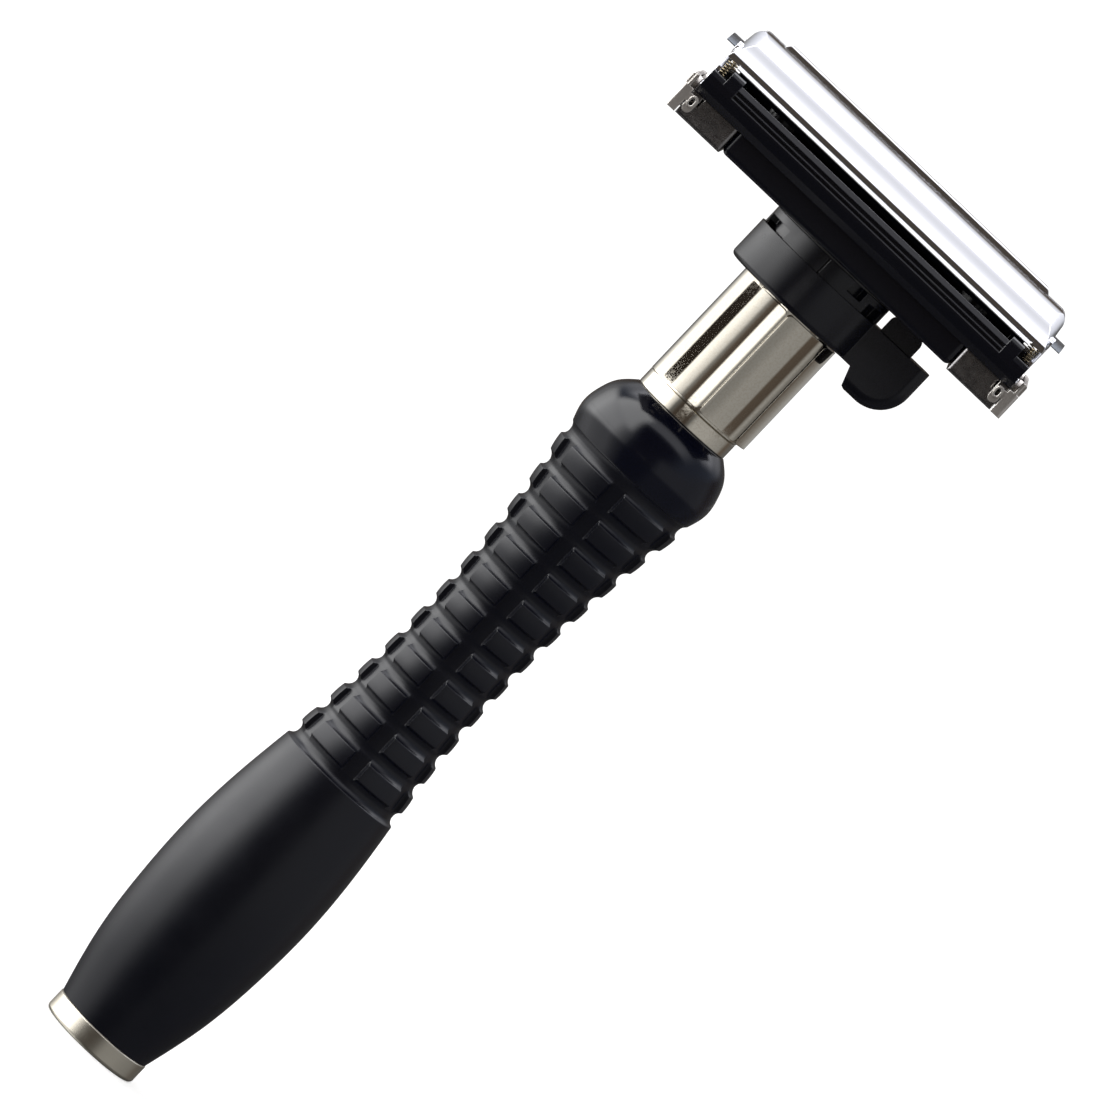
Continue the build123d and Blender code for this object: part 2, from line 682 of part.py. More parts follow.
def end_bracket(side):
    """Bent sheet channel that closes one end of the head from below."""
    x_range = span(side, *BRACKET_X)
    shell = block(x_range, (-BRACKET_Y, BRACKET_Y), (BRACKET_LOW, GUARD_LOW))
    inner_end = shell.edges().filter_by(Axis.Z).group_by(Axis.X)[0 if side > 0 else -1]
    lowest = shell.edges().filter_by(Axis.X).group_by(Axis.Z)[0]
    shell = fillet(inner_end + lowest, BRACKET_ROUND)
    hollow = block(x_range, (-BRACKET_Y + SHEET, BRACKET_Y - SHEET), (BRACKET_LOW + SHEET, GUARD_LOW + 1))
    shell -= fillet(hollow.edges().filter_by(Axis.X).group_by(Axis.Z)[0], 0.2)
    for y in (-BRACKET_SCREW[1], BRACKET_SCREW[1]):
        x = side * BRACKET_SCREW[0]
        shell -= disc(BRACKET_SCREW_R, BRACKET_LOW, GUARD_LOW, x, y)
        shell -= cone(BRACKET_HEAD_R, BRACKET_SCREW_R, BRACKET_LOW, BRACKET_LOW + BRACKET_HEAD, x, y)
    shell -= block(span(side, *BRACKET_NOTCH[:2]), (-12, 12), (BRACKET_NOTCH[2], GUARD_LOW))
    return shell - front_and_rear(eyelet_shape(side, EYELET_R, 9, 13))


def eyelet_shape(side, radius, near, far):
    """Upright oval rod through the looped ear at one end, in front of the middle plane."""
    x = side * EAR_X_MIDDLE
    low, high = EYELET_Z
    return forward(strut((x, low), (x, high), radius), near, far)


def end_plate(side):
    """Plate that closes one end; a looped ear folds round each corner onto the bracket."""
    bend_r = 0.3
    plate = block(span(side, *END_PLATE_X), (-END_PLATE_Y, END_PLATE_Y), END_PLATE_Z)
    plate = fillet(plate.edges().filter_by(Axis.Y).group_by(Axis.X)[-1 if side > 0 else 0], 0.25)
    x = side * EAR_X_MIDDLE
    low, high = EAR_LOOP_Z
    bridge_x = (EAR_X_MIDDLE + EAR_X) / 2
    loop = strut((x, low), (x, high), EAR_R)
    loop += Pos(side * bridge_x, high) * Rectangle(EAR_X - EAR_X_MIDDLE + 0.2, 0.8)
    fold = forward(loop, BRACKET_Y, END_PLATE_Y)
    fold_z = (END_PLATE_Z[0], EAR_TOP)
    fold += block(span(side, EAR_X, END_PLATE_X[1]), (-END_PLATE_Y, -BRACKET_Y), fold_z)
    bend = [
        edge for edge in fold.edges().filter_by(Axis.Z)
        if abs(abs(edge.center().X) - END_PLATE_X[1]) < 0.01 and edge.center().Y < -END_PLATE_Y + 0.01
    ]
    outer_x = span(side, END_PLATE_X[1] - bend_r, END_PLATE_X[1])
    plate -= front_and_rear(block(outer_x, (-END_PLATE_Y, -END_PLATE_Y + bend_r), END_PLATE_Z))
    plate += front_and_rear(fillet(bend, bend_r))
    plate -= front_and_rear(eyelet_shape(side, EYELET_R, 9, 13))
    return plate - door_pivot_pins()


def end_plate_eyelets():
    eyelets = []
    for side in (-1, 1):
        barrel = eyelet_shape(side, EYELET_R, BRACKET_Y - SHEET, END_PLATE_Y)
        barrel += eyelet_shape(side, EYELET_RIM_R, END_PLATE_Y, END_PLATE_Y + EYELET_RIM_DEPTH)
        barrel -= eyelet_shape(side, EYELET_BORE_R, 9, 13)
        eyelets += [barrel, mirror(barrel, about=Plane.XZ)]
    return group(eyelets)


def blade_platform():
    platform = arch(BLADE_ARC_R - BLADE_THICK, PLATFORM_THICK, PLATFORM_Y, PLATFORM_X)
    under_r = BLADE_ARC_R - BLADE_THICK - PLATFORM_THICK / 2
    leg_top = BLADE_ARC_Z + math.sqrt(under_r ** 2 - PLATFORM_SCREW[1] ** 2) - 0.2
    for x, y in corners(*PLATFORM_SCREW):
        platform += disc(2 * PLATFORM_SCREW_R, GUARD_FLOOR, leg_top, x, y)
        platform -= disc(PLATFORM_SCREW_R, GUARD_FLOOR, PLATFORM_SCREW_TOP, x, y)
    for x in RIVET_X:
        platform -= disc(RIVET_R, 110, 113, x)
    return platform


def centre_spine():
    half_x, half_y, top = SPINE
    strip = block((-half_x, half_x), (-half_y, half_y), (110.5, top))
    strip = chamfer(strip.edges().group_by(Axis.Z)[-1].filter_by(Axis.Y), 0.45)
    strip = fillet(strip.edges().group_by(Axis.Z)[-1].filter_by(Axis.X), 0.25)
    strip -= rod_x(BLADE_ARC_R - BLADE_THICK, (-25, 25), 0, BLADE_ARC_Z)
    for x in RIVET_X:
        strip += disc(RIVET_R, 110.6, 112.5, x)
        strip += disc(1.5 * RIVET_R, 110.3, 110.9, x)
    return strip


def blade():
    half_turn = BLADE_HALF_ARC / BLADE_ARC_R
    half_chord = BLADE_ARC_R * math.sin(half_turn)
    sheet = arch(BLADE_ARC_R, BLADE_THICK, half_chord, BLADE_LENGTH / 2)
    outline = Rectangle(BLADE_EDGE, 2 * half_chord + 1) + Rectangle(BLADE_LENGTH, BLADE_TAB_WIDTH)
    outline -= Rectangle(*BLADE_SLOT)
    for x in RIVET_X:
        outline -= Pos(x, 0) * Circle(3 * RIVET_R)
    return sheet & (Pos(0, 0, 105) * extrude(outline, 10))


def corner_springs():
    x, y, radius, wire = CORNER_SPRING
    spring = coil(radius, wire, CORNER_TOP, DOOR_LOW - 0.1, CORNER_SPRING_TURNS)
    return group([Pos(px, py, 0) * spring for px, py in corners(x, y)])


def platform_screws():
    sizes = (BAR_Z[0], PLATFORM_SCREW_TOP, PLATFORM_SCREW_R, PLATFORM_HEAD_R, PLATFORM_HEAD)
    return group([countersunk_screw(x, y, *sizes) for x, y in corners(*PLATFORM_SCREW)])


def bracket_screws():
    sizes = (BRACKET_LOW, BRACKET_SCREW_TOP, BRACKET_SCREW_R, BRACKET_HEAD_R, BRACKET_HEAD)
    return group([countersunk_screw(x, y, *sizes) for x, y in corners(*BRACKET_SCREW)])


def main():
    door = front_door()
    links = front_link_pins()
    pieces = {
        "end_cap": end_cap(),
        "grip": grip(),
        "tie_rod": tie_rod(),
        "neck_base": neck_base(),
        "neck_sleeve": neck_sleeve(),
        "cam_collar": cam_collar(),
        "thrust_washer": thrust_washer(),
        "lift_stem": lift_stem(),
        "follower_pin": follower_pin(),
        "stem_clip": stem_clip(),
        "spring_seat": spring_seat(),
        "return_spring": return_spring(),
        "stem_nut": stem_nut(),
        "lift_yoke": lift_yoke(),
        "front_door": door,
        "rear_door": mirror(door, about=Plane.XZ),
        "front_link_pins": links,
        "rear_link_pins": mirror(links, about=Plane.XZ),
        "door_pivot_pins": door_pivot_pins(),
        "guard_body": guard_body(),
        "lower_bar": lower_bar(),
        "end_bracket_left": end_bracket(-1),
        "end_bracket_right": end_bracket(1),
        "end_plate_left": end_plate(-1),
        "end_plate_right": end_plate(1),
        "end_plate_eyelets": end_plate_eyelets(),
        "blade_platform": blade_platform(),
        "centre_spine": centre_spine(),
        "blade": blade(),
        "corner_springs": corner_springs(),
        "platform_screws": platform_screws(),
        "bracket_screws": bracket_screws(),
    }
    os.makedirs("parts", exist_ok=True)
    for name, piece in pieces.items():
        export_step(piece, f"parts/{name}.step")


main()
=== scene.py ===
import json
import math

import bmesh
import bpy
import numpy as np
from mathutils import Matrix, Vector


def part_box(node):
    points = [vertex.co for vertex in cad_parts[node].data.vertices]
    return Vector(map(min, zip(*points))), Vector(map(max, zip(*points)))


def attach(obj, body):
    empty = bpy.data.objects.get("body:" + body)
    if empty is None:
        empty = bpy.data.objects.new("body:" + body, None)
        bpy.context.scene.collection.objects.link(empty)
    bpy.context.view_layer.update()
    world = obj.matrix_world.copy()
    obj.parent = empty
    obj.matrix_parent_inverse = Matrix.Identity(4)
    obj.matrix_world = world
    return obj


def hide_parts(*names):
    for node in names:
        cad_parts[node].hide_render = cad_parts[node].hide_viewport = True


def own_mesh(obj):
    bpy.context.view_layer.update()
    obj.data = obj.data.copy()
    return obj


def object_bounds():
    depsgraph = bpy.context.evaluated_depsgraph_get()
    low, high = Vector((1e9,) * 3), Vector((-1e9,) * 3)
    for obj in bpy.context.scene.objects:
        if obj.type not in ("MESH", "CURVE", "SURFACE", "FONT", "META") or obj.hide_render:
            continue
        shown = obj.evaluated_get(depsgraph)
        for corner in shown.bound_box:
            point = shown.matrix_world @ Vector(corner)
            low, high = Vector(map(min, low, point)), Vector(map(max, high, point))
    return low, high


# Looks for a double-edge razor with butterfly doors. Metres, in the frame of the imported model:
# Z up the handle, X along the head with the thumb lever on +X, and -Y the front.

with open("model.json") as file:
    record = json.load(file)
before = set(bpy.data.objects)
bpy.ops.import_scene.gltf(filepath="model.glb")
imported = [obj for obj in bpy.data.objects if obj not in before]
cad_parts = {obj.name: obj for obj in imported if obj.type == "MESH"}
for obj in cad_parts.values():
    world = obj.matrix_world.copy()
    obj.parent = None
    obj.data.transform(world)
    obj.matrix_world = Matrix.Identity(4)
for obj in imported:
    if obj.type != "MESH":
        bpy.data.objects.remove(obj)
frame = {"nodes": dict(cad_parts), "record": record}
cad_low, cad_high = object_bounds()

MM = 0.001

# Camera: a long lens from the front, a little above the head, rolled so that the razor leans.
# FRAME_SIDE is the width it sees at the razor, and AIM_HEIGHT a share of the razor's height.
CAMERA_ELEVATION = math.radians(4.0)
CAMERA_ROLL = math.radians(46.5)
CAMERA_DISTANCE = 1.1
CAMERA_CLIP = (0.05, 20.0)
FRAME_SIDE = 104.3 * MM
SENSOR = 36.0
AIM_HEIGHT = 0.5605
AIM_X = -0.5 * MM

# Grip, in millimetres: a barrel, a ringed waist and a bulb. BARREL and BULB are (radius, height)
# points of the outline, and BORES (height, radius) corners of the hole inside, from the top down.
BARREL = ((5.365, 2.2), (6.85, 8.5), (7.65, 15.5), (7.87, 21.6), (7.45, 29.0), (6.72, 34.85))
BULB = ((7.45, 74.95), (7.985, 77.0), (7.65, 79.1), (6.65, 81.0), (5.55, 82.0))
BORES = ((82.0, 3.6), (75.5, 3.6), (75.5, 2.2), (7.5, 2.2), (7.5, 3.4), (2.2, 3.4))
WAIST_R = 4.985
WAIST_Z = 52.0
WAIST_CURVE = 0.0042
EDGE_SOFTNESS = 0.09

# Rings: round valleys (coves) between lands, whose tops are slightly crowned.
RING_COUNT = 11
RING_PITCH = 3.5
FIRST_VALLEY = 35.7
LAST_VALLEY = FIRST_VALLEY + RING_COUNT * RING_PITCH
RING_HEIGHT = 0.54
RING_CROWN = 0.06
CROWN_HALF = 0.9
COVE_HALF = 0.85
TOP_COVE_HALF = 0.75
COVE_CLIMB = 2.1

# Flutes: flat-floored grooves that cross the rings almost down to the valleys.
FLUTE_COUNT = 6
FLUTE_FLOOR = 0.1
FLUTE_FLOOR_HALF = 0.8
FLUTE_TURN = math.radians(2.0)
WALL_SLOPE = 3.2

# Stretches of the grip's mesh with closer rows or columns, where its edges are.
RING_EDGE = (0.66, 1.06)
FLUTE_EDGE = (0.55, 1.25)
BARREL_EDGE = 1.2
BULB_EDGE = 1.1

# Return spring
WIRE_R = 0.28 * MM
SPRING_TURNS = 4.5
STEPS_PER_TURN = 40
WIRE_SIDES = 12


# Small node helpers

def put(tree, kind, inputs, **settings):
    """Adds a node whose inputs are numbers, colours or other nodes' sockets."""
    node = tree.nodes.new("ShaderNode" + kind)
    for key, value in settings.items():
        setattr(node, key, value)
    for key, value in inputs.items():
        if isinstance(value, bpy.types.NodeSocket):
            tree.links.new(value, node.inputs[key])
        else:
            node.inputs[key].default_value = value
    return node


def math_node(tree, operation, *values):
    return put(tree, "Math", dict(enumerate(values)), operation=operation).outputs[0]


def remap(tree, value, low, high, to_low, to_high, smooth=False):
    kind = "SMOOTHSTEP" if smooth else "LINEAR"
    inputs = {"Value": value, "From Min": low, "From Max": high, "To Min": to_low, "To Max": to_high}
    return put(tree, "MapRange", inputs, interpolation_type=kind).outputs["Result"]


def mix_colour(tree, factor, first, second):
    node = put(tree, "Mix", {}, data_type="RGBA")
    for index, value in ((0, factor), (6, first), (7, second)):
        if isinstance(value, bpy.types.NodeSocket):
            tree.links.new(value, node.inputs[index])
        else:
            node.inputs[index].default_value = value
    return node.outputs[2]


def noise(tree, vector, scale, detail=2.0, roughness=0.5):
    inputs = {"Vector": vector, "Scale": scale, "Detail": detail, "Roughness": roughness}
    return put(tree, "TexNoise", inputs).outputs["Fac"]


def stretched(tree, coords, scale):
    return put(tree, "Mapping", {"Vector": coords, "Scale": scale}).outputs["Vector"]


def grey(value, tint=(1.0, 1.0, 1.0)):
    return (value * tint[0], value * tint[1], value * tint[2], 1.0)


def blank_material(name):
    """Material with an empty node tree."""
    material = bpy.data.materials.new(name)
    material.use_nodes = True
    material.node_tree.nodes.clear()
    return material


def add_object(name, data):
    """Object in the scene that shows a mesh or a camera."""
    piece = bpy.data.objects.new(name, data)
    bpy.context.scene.collection.objects.link(piece)
    return piece


class Finish:
    """One procedural material: a surface with its coordinates, softened edges and edge mask."""

    def __init__(self, name, edge_radius):
        self.material = blank_material(name)
        self.tree = self.material.node_tree
        self.surface = put(self.tree, "BsdfPrincipled", {})
        output = put(self.tree, "OutputMaterial", {})
        self.tree.links.new(self.surface.outputs[0], output.inputs["Surface"])
        self.coords = put(self.tree, "TexCoord", {}).outputs["Object"]
        self.soft_normal = put(self.tree, "Bevel", {"Radius": edge_radius}, samples=6).outputs["Normal"]

    def set(self, **inputs):
        for key, value in inputs.items():
            socket = self.surface.inputs[key.replace("_", " ")]
            if isinstance(value, bpy.types.NodeSocket):
                self.tree.links.new(value, socket)
            else:
                socket.default_value = value

    def edges(self, reach):
        """One along the piece's edges and nought on its faces."""
        true_normal = put(self.tree, "NewGeometry", {}).outputs["Normal"]
        vectors = {0: self.soft_normal, 1: true_normal}
        dot = put(self.tree, "VectorMath", vectors, operation="DOT_PRODUCT").outputs["Value"]
        return remap(self.tree, dot, 1.0, 1.0 - reach, 0.0, 1.0)

    def bump(self, height, depth, strength=1.0, normal=None):
        base = self.soft_normal if normal is None else normal
        inputs = {"Height": height, "Distance": depth, "Strength": strength, "Normal": base}
        return put(self.tree, "Bump", inputs).outputs["Normal"]


# Materials

def black_grip():
    """Satin black coating: a fine pebbled skin, glossier on the bulb."""
    finish = Finish("satin_black_grip", 0.05 * MM)
    tree = finish.tree
    pebbles = noise(tree, finish.coords, 5200.0, 3.0, 0.6)
    patches = noise(tree, finish.coords, 260.0, 3.0, 0.55)
    height = put(tree, "SeparateXYZ", {"Vector": finish.coords}).outputs["Z"]
    bulb = remap(tree, height, 74.6 * MM, 75.4 * MM, 0.0, 1.0, smooth=True)
    satin = remap(tree, patches, 0.3, 0.7, 0.29, 0.36)
    glossy = remap(tree, patches, 0.3, 0.7, 0.13, 0.18)
    sheen = put(tree, "Mix", {0: bulb, 2: satin, 3: glossy}, data_type="FLOAT").outputs[0]
    colour = mix_colour(tree, patches, (0.0009, 0.0012, 0.0040, 1), (0.0018, 0.0022, 0.0060, 1))
    finish.set(
        Base_Color=colour,
        Roughness=sheen,
        Specular_IOR_Level=0.37,
        Normal=finish.bump(pebbles, 0.006 * MM, 0.45),
    )
    return finish.material


def black_moulding():
    """Moulded black resin: lightly textured, with its sharp edges a little worn and given a painted
    highlight.
    """
    finish = Finish("moulded_black", 0.09 * MM)
    tree = finish.tree
    texture = noise(tree, finish.coords, 6500.0, 2.0, 0.6)
    flow = noise(tree, stretched(tree, finish.coords, (120.0, 600.0, 600.0)), 1.0, 3.0, 0.5)
    # The edges get a lighter colour and a stronger specular: partly wear, partly a painted highlight.
    worn_and_glinting = finish.edges(0.25)
    colour = mix_colour(tree, worn_and_glinting, (0.0008, 0.0010, 0.0034, 1), (0.003, 0.003, 0.005, 1))
    finish.set(
        Base_Color=colour,
        Roughness=remap(tree, flow, 0.3, 0.7, 0.22, 0.28),
        Specular_IOR_Level=remap(tree, worn_and_glinting, 0.0, 0.4, 0.42, 1.0),
        Normal=finish.bump(texture, 0.004 * MM, 0.3),
    )
    return finish.material


def polished_nickel():
    """Warm champagne nickel, polished, with the faint specks and waviness of plating."""
    finish = Finish("champagne_nickel", 0.08 * MM)
    tree = finish.tree
    specks = noise(tree, finish.coords, 4200.0, 4.0, 0.7)
    waves = noise(tree, stretched(tree, finish.coords, (500.0, 500.0, 90.0)), 1.0, 2.0, 0.5)
    speckled = remap(tree, specks, 0.45, 0.62, 0.0, 1.0)
    tint = mix_colour(tree, speckled, (0.77, 0.725, 0.63, 1), (0.72, 0.665, 0.565, 1))
    first = finish.bump(waves, 0.006 * MM, 0.25)
    finish.set(
        Base_Color=tint,
        Metallic=1.0,
        Roughness=remap(tree, specks, 0.35, 0.7, 0.03, 0.075),
        Normal=finish.bump(specks, 0.0016 * MM, 0.3, first),
    )
    return finish.material


def satin_nickel():
    """Nickel turned on a lathe: fine rings round the axis, soft reflections."""
    finish = Finish("turned_nickel", 0.1 * MM)
    tree = finish.tree
    parts = put(tree, "SeparateXYZ", {"Vector": finish.coords}).outputs
    squares = [math_node(tree, "POWER", parts[axis], 2.0) for axis in "XY"]
    radius = math_node(tree, "SQRT", math_node(tree, "ADD", *squares))
    turning = put(tree, "CombineXYZ", {"X": radius, "Y": parts["Z"]}).outputs["Vector"]
    rings = noise(tree, turning, 16000.0, 3.0, 0.7)
    cloud = noise(tree, finish.coords, 380.0, 3.0, 0.6)
    tint = mix_colour(tree, cloud, (0.70, 0.655, 0.56, 1), (0.62, 0.58, 0.49, 1))
    finish.set(
        Base_Color=tint,
        Metallic=1.0,
        Roughness=remap(tree, cloud, 0.3, 0.7, 0.26, 0.34),
        Normal=finish.bump(rings, 0.004 * MM, 0.5),
    )
    return finish.material


def bright_nickel():
    """Bent sheet of the end plates: pale plated nickel, softly blasted, its edges lighter from wear and a
    painted highlight.
    """
    finish = Finish("bright_nickel", 0.12 * MM)
    tree = finish.tree
    blast = noise(tree, finish.coords, 4600.0, 3.0, 0.6)
    blotches = noise(tree, finish.coords, 800.0, 3.0, 0.6)
    # Lighter colour along the edges: partly wear, partly a painted highlight.
    worn_and_glinting = finish.edges(0.2)
    blotched = remap(tree, blotches, 0.4, 0.6, 0.0, 1.0)
    plate = mix_colour(tree, blotched, (0.80, 0.76, 0.72, 1), (0.70, 0.66, 0.62, 1))
    finish.set(
        Base_Color=mix_colour(tree, worn_and_glinting, plate, (0.92, 0.89, 0.84, 1)),
        Metallic=1.0,
        Roughness=remap(tree, blotches, 0.3, 0.7, 0.38, 0.46),
        Normal=finish.bump(blast, 0.004 * MM, 0.5),
    )
    return finish.material


def scuffed_nickel():
    """End brackets: darker plated sheet, finely scuffed, with its bent edges lighter: partly rubbed wear,
    partly a painted highlight.
    """
    finish = Finish("scuffed_nickel", 0.16 * MM)
    tree = finish.tree
    scuffs = noise(tree, stretched(tree, finish.coords, (2600.0, 2600.0, 5200.0)), 1.0, 5.0, 0.75)
    blotches = noise(tree, finish.coords, 1500.0, 4.0, 0.65)
    # Much lighter colour along the bent edges: partly rubbed wear, partly a painted highlight.
    worn_and_glinting = finish.edges(0.3)
    blotched = remap(tree, blotches, 0.35, 0.65, 0.0, 1.0)
    plate = mix_colour(tree, blotched, (0.30, 0.29, 0.29, 1), (0.19, 0.185, 0.19, 1))
    finish.set(
        Base_Color=mix_colour(tree, worn_and_glinting, plate, (0.72, 0.69, 0.64, 1)),
        Metallic=1.0,
        Roughness=remap(tree, scuffs, 0.3, 0.7, 0.20, 0.36),
        Normal=finish.bump(scuffs, 0.004 * MM, 0.5),
    )
    return finish.material


def spring_steel():
    """Dark drawn wire of the corner springs, with a brassy sheen."""
    finish = Finish("spring_wire", 0.02 * MM)
    tree = finish.tree
    drawn = noise(tree, finish.coords, 7000.0, 3.0, 0.6)
    finish.set(
        Base_Color=mix_colour(tree, drawn, (0.20, 0.165, 0.11, 1), (0.36, 0.30, 0.20, 1)),
        Metallic=1.0,
        Roughness=remap(tree, drawn, 0.3, 0.7, 0.22, 0.34),
        Normal=finish.bump(drawn, 0.002 * MM, 0.4),
    )
    return finish.material


def chrome_doors():
    """Mirror chrome with a trace of orange peel and hairline wiping marks."""
    finish = Finish("mirror_chrome", 0.12 * MM)
    tree = finish.tree
    peel = noise(tree, finish.coords, 420.0, 2.0, 0.5)
    wipes = noise(tree, stretched(tree, finish.coords, (60.0, 5200.0, 5200.0)), 1.0, 3.0, 0.6)
    finish.set(
        Base_Color=mix_colour(tree, peel, (0.86, 0.87, 0.90, 1), (0.91, 0.91, 0.93, 1)),
        Metallic=1.0,
        Roughness=remap(tree, wipes, 0.35, 0.75, 0.05, 0.11),
        Normal=finish.bump(peel, 0.0006 * MM, 0.25),
    )
    return finish.material


def blade_steel():
    """Blue-grey rolled steel with bright ground bevels along both long edges."""
    finish = Finish("blade_steel", 0.02 * MM)
    tree = finish.tree
    parts = put(tree, "SeparateXYZ", {"Vector": finish.coords}).outputs
    across = math_node(tree, "ABSOLUTE", parts["Y"])
    ground = remap(tree, across, 9.75 * MM, 9.85 * MM, 0.0, 1.0)
    outward = math_node(tree, "MULTIPLY", math_node(tree, "SIGN", parts["Y"]), ground)
    lean = put(tree, "CombineXYZ", {"Y": math_node(tree, "MULTIPLY", outward, 0.55)}).outputs["Vector"]
    bevel = put(tree, "VectorMath", {0: finish.soft_normal, 1: lean}, operation="ADD").outputs["Vector"]
    bevel = put(tree, "VectorMath", {0: bevel}, operation="NORMALIZE").outputs["Vector"]
    lines = noise(tree, stretched(tree, finish.coords, (150.0, 9000.0, 9000.0)), 1.0, 3.0, 0.6)
    sheet = mix_colour(tree, lines, (0.40, 0.47, 0.56, 1), (0.52, 0.58, 0.66, 1))
    finish.set(
        Base_Color=mix_colour(tree, ground, sheet, (0.93, 0.93, 0.93, 1)),
        Metallic=1.0,
        Roughness=remap(tree, lines, 0.3, 0.7, 0.16, 0.26),
        Normal=finish.bump(lines, 0.002 * MM, 0.4, bevel),
    )
    return finish.material


def plain_steel():
    """Machined steel of the pins, screws, stem, yoke and return spring."""
    finish = Finish("machined_steel", 0.04 * MM)
    tree = finish.tree
    grain = noise(tree, finish.coords, 5000.0, 4.0, 0.65)
    oxide = remap(tree, noise(tree, finish.coords, 900.0, 3.0, 0.6), 0.4, 0.65, 0.0, 1.0)
    finish.set(
        Base_Color=mix_colour(tree, oxide, (0.58, 0.56, 0.53, 1), (0.42, 0.38, 0.33, 1)),
        Metallic=1.0,
        Roughness=remap(tree, grain, 0.3, 0.7, 0.18, 0.34),
        Normal=finish.bump(grain, 0.003 * MM, 0.5),
    )
    return finish.material


def washer_nylon():
    """Dark nylon of the thrust washer."""
    finish = Finish("washer_nylon", 0.05 * MM)
    tree = finish.tree
    grain = noise(tree, finish.coords, 3000.0, 3.0, 0.6)
    finish.set(
        Base_Color=mix_colour(tree, grain, grey(0.012), grey(0.02)),
        Roughness=remap(tree, grain, 0.3, 0.7, 0.42, 0.55),
        Normal=finish.bump(grain, 0.004 * MM, 0.5),
    )
    return finish.material


FINISHES = {
    "black_grip": black_grip(),
    "black_moulding": black_moulding(),
    "polished_nickel": polished_nickel(),
    "satin_nickel": satin_nickel(),
    "bright_nickel": bright_nickel(),
    "scuffed_nickel": scuffed_nickel(),
    "spring_steel": spring_steel(),
    "chrome_doors": chrome_doors(),
    "blade_steel": blade_steel(),
    "steel": plain_steel(),
    "washer_nylon": washer_nylon(),
}


def coat_cad_nodes():
    """Gives each CAD node the finish of its own material slot."""
    for part in frame["record"]["subparts"]:
        materials = frame["nodes"][part["node"]].data.materials
        materials.clear()
        materials.append(FINISHES[part["material_slot"]])


# The grip

def natural_curve(points, z):
    """Radius at heights z on a natural cubic spline through (radius, height) points."""
    radii, heights = np.array(points).T
    gaps = np.diff(heights)
    slopes = np.diff(radii) / gaps
    system = np.eye(len(points))
    right = np.zeros(len(points))
    for i in range(1, len(points) - 1):
        system[i, i - 1:i + 2] = gaps[i - 1], 2 * (gaps[i - 1] + gaps[i]), gaps[i]
        right[i] = 6 * (slopes[i] - slopes[i - 1])
    bends = np.linalg.solve(system, right)
    i = np.clip(np.searchsorted(heights, z) - 1, 0, len(gaps) - 1)
    gap, ahead, behind = gaps[i], heights[i + 1] - z, z - heights[i]
    return (
        (bends[i] * ahead ** 3 + bends[i + 1] * behind ** 3) / (6 * gap)
        + (radii[i] / gap - bends[i] * gap / 6) * ahead
        + (radii[i + 1] / gap - bends[i + 1] * gap / 6) * behind
    )


def soft_min(a, b, width):
    overlap = np.maximum(width - np.abs(a - b), 0.0)
    return np.minimum(a, b) - overlap ** 2 / (4 * width)


def soft_max(a, b, width):
    return -soft_min(-a, -b, width)


def waist(z):
    """Radius of the waist's valleys."""
    return WAIST_R + WAIST_CURVE * (z - WAIST_Z) ** 2


def cove(offset, half, depth):
    """Height of a round valley above its floor; beyond its edge it climbs on steeply."""
    radius = (half ** 2 + depth ** 2) / (2 * depth)
    inside = radius - np.sqrt(np.maximum(radius ** 2 - np.minimum(np.abs(offset), half) ** 2, 0.0))
    return inside + COVE_CLIMB * np.maximum(np.abs(offset) - half, 0.0)


def ring_rows():
    """Heights of the mesh rows up the ringed waist, closest together at the rings' edges."""
    steps = np.concatenate([
        np.linspace(0.0, RING_EDGE[0], 7)[:-1],
        np.linspace(*RING_EDGE, 10)[:-1],
        np.linspace(RING_EDGE[1], RING_PITCH / 2, 5),
    ])
    pitch = np.concatenate([steps, RING_PITCH - steps[::-1][1:-1]])
    valleys = FIRST_VALLEY + RING_PITCH * np.arange(RING_COUNT)
    return (valleys[:, None] + pitch).ravel()


def grip_radius(z, around):
    """Radius of the grip's skin at heights z and distances from the nearest flute's middle."""
    valley = FIRST_VALLEY + RING_PITCH * np.clip(np.round((z - FIRST_VALLEY) / RING_PITCH), 0, RING_COUNT)
    from_crown = np.abs(z - valley) - RING_PITCH / 2
    land = RING_HEIGHT + RING_CROWN * np.clip(1 - (from_crown / CROWN_HALF) ** 2, 0, 1)
    rings = soft_min(cove(z - valley, COVE_HALF, RING_HEIGHT), land, EDGE_SOFTNESS)
    walls = FLUTE_FLOOR + WALL_SLOPE * (np.abs(around) - FLUTE_FLOOR_HALF)
    flutes = soft_max(walls, np.full_like(walls, FLUTE_FLOOR), EDGE_SOFTNESS)
    ringed = waist(z) + soft_min(rings, flutes, EDGE_SOFTNESS)
    low_floor, high_floor = waist(FIRST_VALLEY), waist(LAST_VALLEY)
    barrel = natural_curve(BARREL, np.minimum(z, BARREL[-1][1] + 0.3))
    low_cove = low_floor + cove(z - FIRST_VALLEY, COVE_HALF, BARREL[-1][0] - low_floor)
    bulb = natural_curve(BULB, np.maximum(z, BULB[0][1] - 0.2))
    high_cove = high_floor + cove(z - LAST_VALLEY, TOP_COVE_HALF, BULB[0][0] - high_floor)
    below = soft_min(barrel, low_cove, EDGE_SOFTNESS)
    above = soft_min(bulb, high_cove, EDGE_SOFTNESS)
    radius = np.where(z < FIRST_VALLEY, below, ringed)
    return np.where(z > LAST_VALLEY, above, radius)


